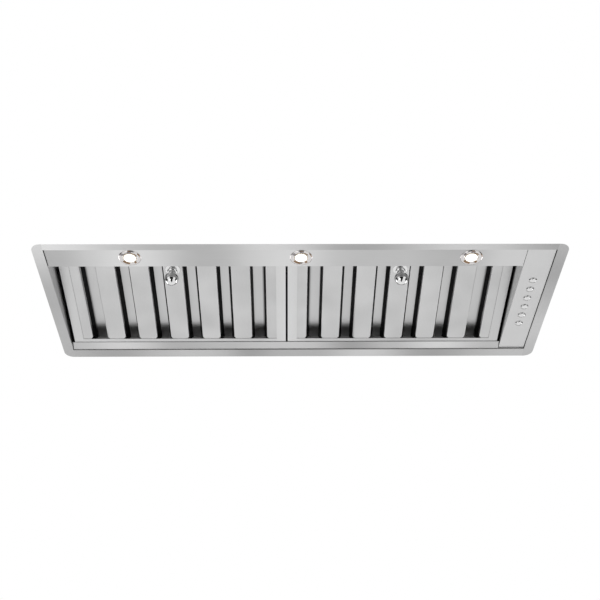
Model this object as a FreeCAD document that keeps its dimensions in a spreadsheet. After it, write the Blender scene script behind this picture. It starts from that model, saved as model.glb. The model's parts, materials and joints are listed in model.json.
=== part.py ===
"""Built-in range hood insert, seen from below in use.

The frame's origin is the centre of the trim flange's underside: +X to the right, where the
push buttons are, +Y to the rear and +Z up into the cabinet.  All sizes are in millimetres.
"""

import FreeCAD, Part
import math
import os
import Sketcher

V = FreeCAD.Vector
X_AXIS, Y_AXIS, Z_AXIS = V(1, 0, 0), V(0, 1, 0), V(0, 0, 1)

DOC = FreeCAD.newDocument("range_hood_insert")
SHEET = DOC.addObject("Spreadsheet::Sheet", "Dims")
NODES = []

# Sizes that can be set by themselves.
DRIVING = [
    ("overall_width", 1180, "flange, left to right"),
    ("overall_depth", 432, "flange, front to rear"),
    ("body_height", 292, "flange underside to top of the body"),
    ("flange_side", 24.4, "visible flange at the left and right"),
    ("flange_front", 18.6, "visible flange at the front"),
    ("flange_rear", 30, "visible flange at the rear"),
    ("corner_radius", 21, "rounded corners of the flange"),
    ("gauge", 1.2, "sheet of the body"),
    ("tab_width", 14, "spot-welded corner tabs of the front and rear panels"),
    ("wall_hole_radius", 2.75, "cabinet screw holes in the side walls"),
    ("wall_hole_pitch_y", 280, "front to rear spacing of those holes"),
    ("wall_hole_pitch_z", 150, "vertical spacing of those holes"),
    ("wall_hole_height", 90, "lower row of those holes above the flange"),
    ("hanger_radius", 4.5, "rod holes in the top panel"),
    ("hanger_inset", 65.6, "rod holes from the side walls"),
    ("hanger_pitch_y", 320, "rod holes, front to rear"),
    ("recess", 3.5, "light strip and control panel above the flange underside"),
    ("seam_gap", 1.2, "dark joint at the ends of the strips and beside the panel"),
    ("strip_depth", 60, "light strip, front to rear"),
    ("light_box_height", 56, "top of the light box"),
    ("curb_setback", 17.2, "curb behind the light strip"),
    ("curb_lip", 19, "upright lip in front of the filters"),
    ("curb_gap", 1.5, "lip to the swinging edge of a filter"),
    ("upstand", 22, "fixing legs of the strips on the walls"),
    ("panel_width", 64.1, "control panel, left to right"),
    ("panel_box_height", 104, "top of the electronics bay"),
    ("filter_gap", 5, "between the two filters"),
    ("side_clearance", 6.55, "filters to the walls beside them"),
    ("filter_height", 30, "filter across its slope"),
    ("filter_tilt", 8.8, "slope of the filters in degrees, front edge up"),
    ("filter_gauge", 1, "sheet of the filter frame"),
    ("rail_width", 22.5, "frame flange around the vanes"),
    ("ledge_overlap", 12.2, "filter on the rear ledge"),
    ("pivot_rise", 10.4, "rear ledge above the flange underside"),
    ("ledge_reach", 20.6, "rear ledge forward of the rear wall"),
    ("strip_rise", 3.5, "rear strip above the flange underside at the rear wall"),
    ("seat_clearance", 0.1, "filter above its ledge"),
    ("vane_gauge", 0.9, "sheet of the vanes"),
    ("vane_width", 44.8, "full lower vane"),
    ("vane_side", 10, "turned-up side of a lower vane"),
    ("vane_bend", 2, "outer bend radius of a lower vane"),
    ("vane_notch", 5, "clipped corners of the lower vanes"),
    ("half_vane", 23.95, "visible half vane beside the rail"),
    ("vane_play", 0.2, "play of the vanes in the frame"),
    ("end_gap", 36.4, "air gap beside the half vanes"),
    ("hood_top", 20, "closed side of an upper vane, inside"),
    ("end_hood_top", 25.4, "the same over the end gaps"),
    ("hood_lap", 2.5, "legs of an upper vane beyond the gap"),
    ("hood_leg", 13, "height of an upper vane"),
    ("knob_inset", 47.2, "knob from the front edge of the filter"),
    ("knob_radius", 16, "ball of a pull knob"),
    ("knob_length", 48, "pull knob below its vane"),
    ("knob_foot", 16.5, "foot plate of the knob"),
    ("knob_bead", 12, "bead under the foot plate"),
    ("knob_neck", 7.5, "neck between bead and ball"),
    ("knob_thread", 2.5, "screw that holds the knob"),
    ("catch_width", 22, "leaf catches on the curb"),
    ("catch_gauge", 0.6, "spring steel of the catches"),
    ("catch_spacing", 340, "two catches of one filter"),
    ("light_inset", 186.2, "outer lights from the side walls"),
    ("trim_radius", 25, "light trim ring"),
    ("trim_proud", 2.5, "trim ring below the strip"),
    ("lens_radius", 15.5, "light lens"),
    ("light_sleeve", 21.8, "trim sleeve through the strip"),
    ("light_wall", 1.4, "wall of that sleeve"),
    ("light_height", 36, "light engine above the strip"),
    ("button_pitch", 33.3, "spacing of the push buttons"),
    ("button_centre", -1.9, "middle of the button row, front to rear"),
    ("button_radius", 7.7, "moving cap"),
    ("bezel_radius", 9.5, "fixed bezel"),
    ("bezel_proud", 1.4, "bezel below the panel"),
    ("button_travel", 1.5, "press of a button"),
    ("running_fit", 0.08, "radial play of the moving round parts"),
    ("board_height", 15, "circuit board above the panel sheet"),
    ("board_width", 26, "circuit board"),
    ("board_gauge", 1.6, "circuit board"),
    ("duct_radius", 99, "outside of the duct collar"),
    ("duct_length", 56, "duct collar above the body"),
    ("duct_flange", 15, "foot flange of the collar"),
    ("duct_centre", 30, "collar behind the middle of the flange"),
    ("collar_gauge", 1, "sheet of the collar and of the flaps"),
    ("seat_width", 4, "rim under the flaps"),
    ("damper_height", 18, "damper pin above the body"),
    ("damper_pin_radius", 2, "damper pin"),
    ("knuckle_radius", 3.4, "rolled knuckles of the flaps"),
    ("knuckle_length", 18, "rolled knuckles of the flaps"),
    ("impeller_radius", 72, "outside of the blade rings"),
    ("blade_depth", 13, "blade rings, radially"),
    ("impeller_width", 138, "both rows of blades"),
    ("blade_gauge", 1.2, "one blade"),
    ("blade_count", 24, "blades in one row"),
    ("scroll_clearance", 7, "impeller to the start of the scroll"),
    ("scroll_growth", 10, "growth of the scroll each quarter turn"),
    ("scroll_width", 150, "inside of the scroll"),
    ("scroll_gauge", 1, "sheet of the scroll"),
    ("throat_rise", 22, "straight throat above the scroll"),
    ("tongue_angle", 60, "start of the scroll in degrees above the rear"),
    ("shaft_radius", 4, "impeller shaft"),
    ("motor_radius", 40, "motor"),
    ("motor_length", 66, "motor"),
    ("hub_radius", 14, "impeller hub"),
    ("hub_length", 24, "impeller hub"),
    ("inlet_radius", 57, "inlets of the scroll"),
    ("screw_radius", 4, "pan heads"),
    ("screw_height", 2.2, "pan heads"),
    ("gland_radius", 9, "thread of the cable gland"),
    ("gland_bore", 5, "cable hole of the gland"),
    ("gland_inset", 95.6, "gland from the right wall"),
    ("gland_y", -110, "gland in front of the middle"),
    ("gland_hex", 12.5, "corners of the gland's hexagons"),
    ("gland_dome", 12, "domed nut of the gland"),
    ("nut_height", 5, "nut inside the wiring box"),
    ("driver_length", 110, "driver of the lights"),
    ("driver_width", 30, "driver of the lights"),
    ("driver_height", 24, "driver of the lights"),
    ("wiring_width", 120, "wiring box, left to right"),
    ("wiring_front", 45, "wiring box in front of the gland"),
    ("wiring_rear", 75, "wiring box behind the gland"),
    ("wiring_drop", 48, "wiring box below the top"),
    ("capacitor_radius", 17, "run capacitor"),
    ("capacitor_length", 60, "run capacitor"),
    ("capacitor_inset", 25, "capacitor from the box's corner"),
]

# Sizes that follow from the ones above.
DERIVED = [
    ("half_width", "=overall_width / 2"),
    ("half_depth", "=overall_depth / 2"),
    ("wall_x", "=half_width - flange_side"),
    ("wall_outer", "=wall_x + gauge"),
    ("front_in", "=flange_front - half_depth"),
    ("front_out", "=front_in - gauge"),
    ("rear_in", "=half_depth - flange_rear"),
    ("rear_out", "=rear_in + gauge"),
    ("wall_top", "=body_height - gauge"),
    ("bay_right", "=wall_x - panel_width"),
    ("strip_left", "=-wall_x + seam_gap"),
    ("strip_right", "=bay_right - seam_gap"),
    ("strip_length", "=strip_right - strip_left"),
    ("strip_rear", "=front_in + strip_depth"),
    ("strip_centre", "=front_in + strip_depth / 2"),
    ("pivot_y", "=rear_in - ledge_reach"),
    ("curb_rear", "=strip_rear + curb_setback"),
    ("swing_room", "=pivot_y - curb_rear - curb_gap"),
    ("reach", "=sqrt(swing_room ^ 2 + (light_box_height - pivot_rise) ^ 2)"),
    ("curb_top", "=light_box_height + curb_lip"),
    ("bay_width", "=bay_right + wall_x"),
    ("filter_width", "=(bay_width - filter_gap) / 2 - side_clearance"),
    ("half_window", "=filter_width / 2 - rail_width"),
    ("vane_pitch", "=(half_window - half_vane - end_gap - vane_width / 2) / 2"),
    ("left_filter_x", "=-wall_x + side_clearance + filter_width / 2"),
    ("right_filter_x", "=left_filter_x + filter_width + filter_gap"),
    ("front_draft", "=filter_height ^ 2 / (2 * reach)"),
    ("light_pitch", "=wall_x - light_inset"),
    ("hanger_pitch_x", "=2 * (wall_x - hanger_inset)"),
    ("gland_x", "=wall_x - gland_inset"),
    ("panel_right", "=wall_x - seam_gap"),
    ("panel_centre", "=(bay_right + wall_x) / 2"),
    ("panel_depth", "=rear_in - front_in"),
    ("board_z", "=recess + gauge + board_height"),
    ("duct_in", "=duct_radius - collar_gauge"),
    ("scroll_start", "=impeller_radius + scroll_clearance"),
    ("half_scroll", "=scroll_width / 2"),
    ("throat_lead", "=(scroll_start + scroll_gauge) * cos(tongue_angle * 1 deg) + scroll_gauge"),
    ("throat_reach", "=scroll_start + 3 * scroll_growth"),
    ("fan_y", "=duct_centre - (throat_lead + throat_reach) / 2"),
    ("fan_z", "=wall_top - scroll_start - throat_rise"),
    ("throat_front", "=fan_y + throat_lead"),
    ("throat_rear", "=fan_y + throat_reach"),
]


def fill_sheet():
    """Write every size into the sheet, one row each, under its own name."""
    row = 0
    for name, number, note in DRIVING:
        row += 1
        SHEET.set("A%d" % row, note)
        SHEET.set("B%d" % row, str(number))
        SHEET.setAlias("B%d" % row, name)
    DOC.recompute()
    for name, rule in DERIVED:
        row += 1
        SHEET.set("A%d" % row, "worked out")
        SHEET.set("B%d" % row, rule)
        SHEET.setAlias("B%d" % row, name)
        DOC.recompute()


def dim(name):
    """A size from the sheet as a plain number."""
    return float(SHEET.get(name))


def is_number(word):
    return word.replace(".", "", 1).isdigit()


def value(text):
    """The number that a sum of sizes such as "- wall_x + gauge" stands for."""
    total = 0.0
    sign = 1.0
    for word in text.split():
        if word in "+-":
            sign = 1.0 if word == "+" else -1.0
        else:
            total += sign * (float(word) if is_number(word) else dim(word))
            sign = 1.0
    return total


def formula(text):
    """The same sum as an expression that is bound to the sheet."""
    words = [w if w in "+-" or is_number(w) else "Dims." + w for w in text.split()]
    return " ".join(words)


# ---------------------------------------------------------------- building blocks

def keep(part):
    """Count an object as a sub-part that is written to a file of its own."""
    NODES.append(part)
    return part


def new_body(label):
    body = DOC.addObject("PartDesign::Body", label)
    body.Label = label
    return body


def origin_plane(body, role):
    return [f for f in body.Origin.OriginFeatures if f.Role == role][0]


def new_sketch(body, name, role, offset="0"):
    """A sketch on one of the body's own planes, moved along the plane's normal."""
    sketch = body.newObject("Sketcher::SketchObject", name)
    sketch.AttachmentSupport = [(origin_plane(body, role), "")]
    sketch.MapMode = "FlatFace"
    sketch.setExpression("AttachmentOffset.Base.z", formula(offset))
    return sketch


def pin_point(sketch, index, end, x, y):
    """Tie one point of a sketch to sizes of the sheet."""
    for kind, text in (("DistanceX", x), ("DistanceY", y)):
        number = sketch.addConstraint(
            Sketcher.Constraint(kind, -1, 1, index, end, value(text)))
        sketch.setExpression("Constraints[%d]" % number, formula(text))


def outline(sketch, corners):
    """A closed outline of straight lines, each corner tied to the sheet."""
    first = sketch.GeometryCount
    count = len(corners)
    points = [V(value(x), value(y), 0) for x, y in corners]
    for i in range(count):
        sketch.addGeometry(Part.LineSegment(points[i], points[(i + 1) % count]), False)
    for i in range(count):
        following = first + (i + 1) % count
        sketch.addConstraint(Sketcher.Constraint("Coincident", first + i, 2, following, 1))
    for i, (x, y) in enumerate(corners):
        pin_point(sketch, first + i, 1, x, y)


def box_outline(sketch, left, right, low, high):
    outline(sketch, [(left, low), (right, low), (right, high), (left, high)])


def circle(sketch, x, y, radius):
    index = sketch.addGeometry(Part.Circle(V(value(x), value(y), 0), Z_AXIS, value(radius)), False)
    pin_point(sketch, index, 3, x, y)
    number = sketch.addConstraint(Sketcher.Constraint("Radius", index, value(radius)))
    sketch.setExpression("Constraints[%d]" % number, formula(radius))


def pad(body, sketch, length):
    feature = body.newObject("PartDesign::Pad", sketch.Name + "_pad")
    feature.Profile = sketch
    feature.setExpression("Length", formula(length))
    return feature


def pocket(body, sketch, reverse=False):
    """Cut right through and make sure that the cut took something away."""
    DOC.recompute()
    before = body.Shape.Volume
    feature = body.newObject("PartDesign::Pocket", sketch.Name + "_cut")
    feature.Profile = sketch
    feature.Type = "ThroughAll"
    feature.Reversed = reverse
    DOC.recompute()
    if body.Shape.Volume >= before:
        raise ValueError("nothing was cut from " + body.Label)
    return feature


def revolve(body, sketch):
    feature = body.newObject("PartDesign::Revolution", sketch.Name + "_turn")
    feature.Profile = sketch
    feature.ReferenceAxis = (sketch, ["V_Axis"])
    feature.Angle = 360
    return feature


def round_edges(body, radius, chosen):
    """Fillet the edges of the body that the function chosen picks."""
    DOC.recompute()
    base = body.Tip
    names = ["Edge%d" % (i + 1) for i, e in enumerate(base.Shape.Edges) if chosen(e)]
    feature = body.newObject("PartDesign::Fillet", body.Name + "_bend%d" % len(body.Group))
    feature.Base = (base, names)
    feature.setExpression("Radius", formula(radius))
    return feature


def turned(label, profile):
    """A round piece: a profile of radius and height pairs, turned about the vertical."""
    body = new_body(label)
    sketch = new_sketch(body, label + "_profile", "XZ_Plane")
    outline(sketch, profile)
    revolve(body, sketch)
    return body


def group(label, solids):
    """Separate solids that share one sub-part."""
    feature = DOC.addObject("Part::Feature", label)
    feature.Label = label
    feature.Shape = Part.makeCompound(solids)
    return feature


def single(label, solid):
    feature = DOC.addObject("Part::Feature", label)
    feature.Label = label
    feature.Shape = solid
    return feature


def slab(x0, x1, y0, y1, z0, z1):
    """A box between three pairs of limits."""
    return Part.makeBox(x1 - x0, y1 - y0, z1 - z0, V(x0, y0, z0))


def prism(points, along):
    """A flat outline through 3-D points, swept along a vector."""
    wire = Part.makePolygon(points + [points[0]])
    return Part.Face(wire).extrude(along)


def facetted(rings, sides):
    """A solid through regular polygons, given as radius and height pairs on the vertical."""
    wires = []
    for radius, height in rings:
        points = []
        for i in range(sides):
            turn = 2 * math.pi * i / sides
            points.append(V(radius * math.cos(turn), radius * math.sin(turn), height))
        wires.append(Part.makePolygon(points + [points[0]]))
    return Part.makeLoft(wires, True, True)


def pan_head(x, y, z, direction):
    """A low screw head with a bevelled rim, on a face that looks along direction."""
    radius = dim("screw_radius")
    height = dim("screw_height")
    head = facetted([(radius, 0), (radius, 0.4 * height), (0.7 * radius, height)], 12)
    head.Placement = FreeCAD.Placement(V(x, y, z), FreeCAD.Rotation(Z_AXIS, direction))
    return head


# ---------------------------------------------------------------- sheet body

def make_side_panel(label, side):
    """A side wall with its flange: the flange runs the full depth, with rounded corners."""
    body = new_body(label)
    flange = new_sketch(body, label + "_flange", "XY_Plane")
    box_outline(flange, side + "half_width", side + "wall_x", "- half_depth", "half_depth")
    pad(body, flange, "gauge")
    outer = abs(dim("half_width"))
    round_edges(body, "corner_radius", lambda e: all(
        abs(abs(v.X) - outer) < 0.01 for v in e.Vertexes) and abs(e.tangentAt(
            e.FirstParameter).z) > 0.9)
    wall = new_sketch(body, label + "_wall", "XY_Plane")
    box_outline(wall, side + "wall_outer", side + "wall_x", "front_out", "rear_out")
    pad(body, wall, "wall_top")
    holes = new_sketch(body, label + "_holes", "YZ_Plane")
    half_pitch = dim("wall_hole_pitch_y") / 2
    for y in (-half_pitch, half_pitch):
        for row in (0, 1):
            z = dim("wall_hole_height") + row * dim("wall_hole_pitch_z")
            place_hole(holes, y, z, "wall_hole_radius")
    pocket(body, holes, reverse=side == "")
    return keep(body)


def place_hole(sketch, x, y, radius):
    """A hole at a worked-out place, with its radius tied to the sheet."""
    index = sketch.addGeometry(Part.Circle(V(x, y, 0), Z_AXIS, dim(radius)), False)
    for kind, number in (("DistanceX", x), ("DistanceY", y)):
        sketch.addConstraint(Sketcher.Constraint(kind, -1, 1, index, 3, number))
    number = sketch.addConstraint(Sketcher.Constraint("Radius", index, dim(radius)))
    sketch.setExpression("Constraints[%d]" % number, "Dims." + radius)


def make_cross_panel(label, flange_y, wall_y, tab_y):
    """The front or rear wall, its flange and two corner tabs against the side walls."""
    body = new_body(label)
    flange = new_sketch(body, label + "_flange", "XY_Plane")
    box_outline(flange, "- wall_x", "wall_x", flange_y[0], flange_y[1])
    pad(body, flange, "gauge")
    wall = new_sketch(body, label + "_wall", "XY_Plane")
    box_outline(wall, "- wall_x", "wall_x", wall_y[0], wall_y[1])
    pad(body, wall, "wall_top")
    for name, low, high in (("left", "- wall_x", "- wall_x + gauge"),
                            ("right", "wall_x - gauge", "wall_x")):
        tab = new_sketch(body, label + "_tab_" + name, "XY_Plane", "panel_box_height + gauge")
        box_outline(tab, low, high, tab_y[0], tab_y[1])
        pad(body, tab, "wall_top - panel_box_height - gauge")
    return keep(body)


def make_top_panel():
    """The flat top: duct opening, gland hole and four holes for hanger rods."""
    body = new_body("top_panel")
    sheet = new_sketch(body, "top_sheet", "XY_Plane", "wall_top")
    box_outline(sheet, "- wall_outer", "wall_outer", "front_out", "rear_out")
    box_outline(sheet, "- half_scroll", "half_scroll", "throat_front", "throat_rear")
    circle(sheet, "gland_x", "gland_y", "gland_radius")
    pad(body, sheet, "gauge")
    rods = new_sketch(body, "top_rods", "XY_Plane")
    for x in (-1, 1):
        for y in (-1, 1):
            place_hole(rods, x * dim("hanger_pitch_x") / 2, y * dim("hanger_pitch_y") / 2,
                       "hanger_radius")
    pocket(body, rods, reverse=True)
    return keep(body)


# ---------------------------------------------------------------- strips and panel

def make_light_box():
    """One bent sheet: fixing leg, lit strip, rear wall, shelf and the filters' curb."""
    body = new_body("light_box")
    section = new_sketch(body, "light_box_section", "YZ_Plane", "strip_left")
    outline(section, [
        ("front_in", "recess + upstand"),
        ("front_in", "recess"),
        ("strip_rear", "recess"),
        ("strip_rear", "light_box_height - gauge"),
        ("curb_rear", "light_box_height - gauge"),
        ("curb_rear", "curb_top"),
        ("curb_rear - gauge", "curb_top"),
        ("curb_rear - gauge", "light_box_height"),
        ("strip_rear - gauge", "light_box_height"),
        ("strip_rear - gauge", "recess + gauge"),
        ("front_in + gauge", "recess + gauge"),
        ("front_in + gauge", "recess + upstand"),
    ])
    pad(body, section, "strip_length")
    holes = new_sketch(body, "light_holes", "XY_Plane")
    for x in ("- light_pitch", "0", "light_pitch"):
        circle(holes, x, "strip_centre", "light_sleeve")
    DOC.recompute()
    before = body.Shape.Volume
    cut = body.newObject("PartDesign::Pocket", "light_holes_cut")
    cut.Profile = holes
    cut.Reversed = True
    cut.setExpression("Length", formula("recess + gauge + gauge"))
    DOC.recompute()
    if body.Shape.Volume >= before:
        raise ValueError("the light holes cut nothing")
    return keep(body)


def make_rear_strip():
    """The rear strip: it slopes up from the rear wall and carries the filters' rear rails."""
    body = new_body("rear_strip")
    section = new_sketch(body, "rear_strip_section", "YZ_Plane", "strip_left")
    outline(section, [
        ("pivot_y", "pivot_rise"),
        ("pivot_y", "pivot_rise - gauge"),
        ("rear_in", "strip_rise - gauge"),
        ("rear_in", "pivot_rise + upstand"),
        ("rear_in - gauge", "pivot_rise + upstand"),
        ("rear_in - gauge", "strip_rise"),
    ])
    pad(body, section, "strip_length")
    return keep(body)


def make_control_panel():
    """The button strip, with the wall beside the filter and the cover of the bay above it."""
    body = new_body("control_panel")
    section = new_sketch(body, "panel_section", "XZ_Plane", "- rear_in")
    outline(section, [
        ("panel_right", "recess + upstand"),
        ("panel_right", "recess"),
        ("bay_right", "recess"),
        ("bay_right", "panel_box_height"),
        ("wall_x", "panel_box_height"),
        ("wall_x", "panel_box_height - gauge"),
        ("bay_right + gauge", "panel_box_height - gauge"),
        ("bay_right + gauge", "recess + gauge"),
        ("panel_right - gauge", "recess + gauge"),
        ("panel_right - gauge", "recess + upstand"),
    ])
    pad(body, section, "panel_depth")
    holes = new_sketch(body, "button_holes", "XY_Plane")
    for y in button_places():
        place_hole(holes, dim("panel_centre"), y, "button_radius")
        number = len(holes.Constraints) - 1
        holes.setExpression("Constraints[%d]" % number,
                            "Dims.button_radius + 2 * Dims.running_fit + 0.6")
    DOC.recompute()
    cut = body.newObject("PartDesign::Pocket", "button_holes_cut")
    cut.Profile = holes
    cut.Reversed = True
    cut.setExpression("Length", formula("recess + gauge + gauge"))
    return keep(body)


# ---------------------------------------------------------------- lights

def light_places():
    pitch = dim("light_pitch")
    return [V(x, dim("strip_centre"), dim("recess")) for x in (-pitch, 0, pitch)]


def make_lights():
    """Three round lights: a chrome trim with a sleeve, a domed lens and a finned engine."""
    for number, place in enumerate(light_places(), start=1):
        trim = turned("light_trim_%d" % number, [
            ("trim_radius", "0"),
            ("trim_radius", "- 0.8"),
            ("trim_radius - 2", "- trim_proud"),
            ("lens_radius + 2", "- trim_proud"),
            ("lens_radius", "- 1"),
            ("lens_radius", "2"),
            ("light_sleeve - light_wall", "2"),
            ("light_sleeve - light_wall", "9"),
            ("light_sleeve - 0.1", "9"),
            ("light_sleeve - 0.1", "0"),
        ])
        trim.Placement.Base = place
        keep(trim)
        lens = turned("light_lens_%d" % number, [
            ("0", "- 1.9"),
            ("lens_radius - 6", "- 1.5"),
            ("lens_radius - 0.1", "- 0.7"),
            ("lens_radius - 0.1", "2"),
            ("0", "2"),
        ])
        lens.Placement.Base = place
        keep(lens)
        keep(make_light_engine(number, place))
    clips = []
    for place in light_places():
        for side in (-1, 1):
            clips.append(light_clip(place, side))
    return keep(group("light_clips", clips))


def make_light_engine(number, place):
    """The round heat sink of a light, with three turned grooves between its fins."""
    outer = "light_sleeve - light_wall - 0.1"
    core = "light_sleeve - light_wall - 5"
    profile = [("0", "2"), (outer, "2"), (outer, "14")]
    for fin in range(3):
        low = 14 + 6 * fin
        profile += [(core, "%d" % low), (core, "%d" % (low + 3)), (outer, "%d" % (low + 3)),
                    (outer, "%d" % (low + 6))]
    profile += [(outer, "light_height"), ("0", "light_height")]
    engine = turned("light_engine_%d" % number, profile)
    engine.Placement.Base = place
    return engine


def light_clip(place, side):
    """A leaf clip: held to the sleeve, it springs out and down onto the strip."""
    inner = dim("light_sleeve")
    rise = 8.6
    floor = dim("gauge")
    leaf = [(inner, rise - 3), (inner + 0.6, rise - 3), (inner + 0.6, rise - 0.8),
            (inner + 9, floor), (inner + 12, floor), (inner + 12, floor + 0.6),
            (inner + 9.3, floor + 0.6), (inner + 0.9, rise), (inner, rise)]
    half = 4
    points = [V(place.x + side * r, place.y - half, place.z + z) for r, z in leaf]
    return prism(points, V(0, 2 * half, 0))


# ---------------------------------------------------------------- filters

def filter_placement(side):
    """The filters' own frame: origin on the rear ledge's edge, Y down the slope to the rear."""
    tilt = FreeCAD.Rotation(X_AXIS, -dim("filter_tilt"))
    lift = tilt.multVec(V(0, 0, dim("seat_clearance")))
    base = V(dim(side + "_filter_x"), dim("pivot_y"), dim("pivot_rise"))
    return FreeCAD.Placement(base + lift, tilt)


def make_filter_frame(side):
    """A folded channel frame: outer web, with a flange turned in above and below the vanes."""
    label = side + "_filter_frame"
    half = dim("filter_width") / 2
    skin = dim("filter_gauge")
    rail = dim("rail_width")
    front = -dim("reach")
    rear = dim("ledge_overlap")
    top = dim("filter_height")
    lean = dim("front_draft")

    def block(inset):
        low = [V(-half + inset, front + inset, inset), V(-half + inset, rear - inset, inset)]
        high = [V(-half + inset, rear - inset, top - inset),
                V(-half + inset, front + lean + inset, top - inset)]
        return prism(low + high, V(2 * (half - inset), 0, 0))

    window = slab(-half + rail, half - rail, front + rail, rear - rail, -1, top + 1)
    frame = block(0).cut(block(skin)).cut(window)
    upright = [e for e in frame.Edges if abs(e.Vertexes[0].X) > half - 0.01
               and abs(e.Vertexes[-1].X) > half - 0.01
               and e.Length > top * 0.9 and e.Length < top * 1.1]
    frame = frame.makeFillet(skin * 2.5, upright)
    part = single(label, frame)
    part.Placement = filter_placement(side)
    return keep(part)


def vane_span():
    """Front and rear ends of the vanes inside the frame, with a hair of play."""
    play = dim("vane_play")
    skin = dim("filter_gauge")
    front = -dim("reach") + dim("front_draft") + skin + play
    rear = dim("ledge_overlap") - skin - play
    return front, rear


def lower_vane(width, full):
    """An upturned channel that lies on the frame's lower flange; a half vane has one side."""
    skin = dim("vane_gauge")
    floor = dim("filter_gauge")
    rise = dim("vane_side")
    bend = dim("vane_bend")
    front, rear = vane_span()
    left = -width / 2
    right = width / 2
    profile = [(left, floor), (right, floor)]
    if full:
        profile += [(right, floor + rise), (right - skin, floor + rise),
                    (right - skin, floor + skin)]
    else:
        profile += [(right, floor + skin)]
    profile += [(left + skin, floor + skin), (left + skin, floor + rise), (left, floor + rise)]
    vane = prism([V(x, front, z) for x, z in profile], V(0, rear - front, 0))
    corners = [left, right] if full else [left]
    outer = [e for e in vane.Edges if e.Length > width and abs(e.CenterOfMass.z - floor) < 0.01
             and min(abs(e.CenterOfMass.x - c) for c in corners) < 0.01]
    vane = vane.makeFillet(bend, outer)
    inner = [e for e in vane.Edges if e.Length > width
             and abs(e.CenterOfMass.z - floor - skin) < 0.01
             and min(abs(abs(e.CenterOfMass.x - c) - skin) for c in corners) < 0.01]
    vane = vane.makeFillet(bend - skin, inner)
    return clip_corners(vane, corners)


def clip_corners(vane, corners):
    """Cut the sides of a vane back where they meet the rails at both ends."""
    notch = dim("vane_notch")
    tall = dim("vane_side") + dim("filter_gauge") + 1
    ends = ((dim("rail_width") - dim("reach"), -1), (dim("ledge_overlap") - dim("rail_width"), 1))
    for x in corners:
        inward = -1 if x > 0 else 1
        for y, outward in ends:
            depth = y - outward * 1.4 * notch
            beyond = y + outward * 0.6 * dim("rail_width")
            points = [V(x - inward, beyond, 0), V(x - inward, depth, 0), V(x, depth, 0),
                      V(x + inward * notch, y, 0), V(x + inward * notch, beyond, 0)]
            vane = vane.cut(prism(points, V(0, 0, tall)))
    return vane


def make_lower_vanes(side):
    """Five full vanes and a half vane at each end; the middle one is drilled for the knob."""
    pitch = dim("vane_pitch")
    width = dim("vane_width")
    vane = lower_vane(width, True)
    vanes = []
    for place in (-2, -1, 0, 1, 2):
        copy = vane.translated(V(place * pitch, 0, 0))
        if place == 0:
            hole = Part.makeCylinder(dim("knob_thread") + 0.1, 20, V(0, knob_y(), -5))
            copy = copy.cut(hole)
        vanes.append(copy)
    edge = 2 * pitch + width / 2 + dim("end_gap")
    web = dim("filter_width") / 2 - dim("filter_gauge") - dim("vane_play")
    half_vane = lower_vane(web - edge, False).translated(V((web + edge) / 2, 0, 0))
    vanes.append(half_vane)
    vanes.append(half_vane.mirror(V(0, 0, 0), X_AXIS))
    part = group(side + "_filter_lower_vanes", vanes)
    part.Placement = filter_placement(side)
    return keep(part)


def upper_vane(opening, gap):
    """A downturned channel under the frame's upper flange; its legs spread past the gap."""
    skin = dim("vane_gauge")
    top = dim("filter_height") - dim("filter_gauge")
    low = top - dim("hood_leg")
    narrow = opening / 2 + skin
    wide = gap / 2 + dim("hood_lap")
    front, rear = vane_span()
    profile = [(-narrow, top), (narrow, top), (wide, low), (wide - skin, low),
               (narrow - skin, top - skin), (-narrow + skin, top - skin),
               (-wide + skin, low), (-wide, low)]
    return prism([V(x, front, z) for x, z in profile], V(0, rear - front, 0))


def make_upper_vanes(side):
    """Six upper vanes, one over each air gap."""
    pitch = dim("vane_pitch")
    outer = 2 * pitch + (dim("vane_width") + dim("end_gap")) / 2
    vane = upper_vane(dim("hood_top"), pitch - dim("vane_width"))
    end_vane = upper_vane(dim("end_hood_top"), dim("end_gap"))
    vanes = [vane.translated(V(place * pitch, 0, 0)) for place in (-1.5, -0.5, 0.5, 1.5)]
    vanes += [end_vane.translated(V(x, 0, 0)) for x in (-outer, outer)]
    part = group(side + "_filter_upper_vanes", vanes)
    part.Placement = filter_placement(side)
    return keep(part)


def knob_y():
    return dim("knob_inset") - dim("reach")


def make_knob(side):
    """The turned pull knob: foot plate, bead, neck and ball, tapped for its screw."""
    foot = dim("knob_foot")
    bead = dim("knob_bead")
    neck = dim("knob_neck")
    ball = dim("knob_radius")
    drop = dim("knob_length")
    bore = dim("knob_thread")
    middle = drop - ball
    profile = [(0, 0.5 * drop), (bore, 0.5 * drop), (bore, 0), (foot, 0), (foot, 1.5),
               (neck + 1, 3.5), (bead, 0.13 * drop), (bead, 0.2 * drop), (neck, 0.32 * drop)]
    start = -math.acos(neck / ball)
    for i in range(8):
        turn = start + (math.pi / 2 - start) * i / 7
        profile.append((ball * math.cos(turn), middle + ball * math.sin(turn)))
    points = [V(r, knob_y(), dim("filter_gauge") - depth) for r, depth in profile]
    face = Part.Face(Part.makePolygon(points + [points[0]]))
    part = single(side + "_filter_knob", face.revolve(V(0, knob_y(), 0), Z_AXIS, 360))
    part.Placement = filter_placement(side)
    return keep(part)


def make_knob_screw(side):
    """The screw from inside the middle vane into the knob."""
    floor = dim("filter_gauge") + dim("vane_gauge")
    radius = dim("knob_thread") - 0.05
    length = dim("knob_length") * 0.45
    shank = Part.makeCylinder(radius, length, V(0, knob_y(), floor - length))
    head = Part.makeCylinder(radius * 1.8, 2.4, V(0, knob_y(), floor))
    part = single(side + "_filter_knob_screw", head.fuse(shank).removeSplitter())
    part.Placement = filter_placement(side)
    return keep(part)


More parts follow.
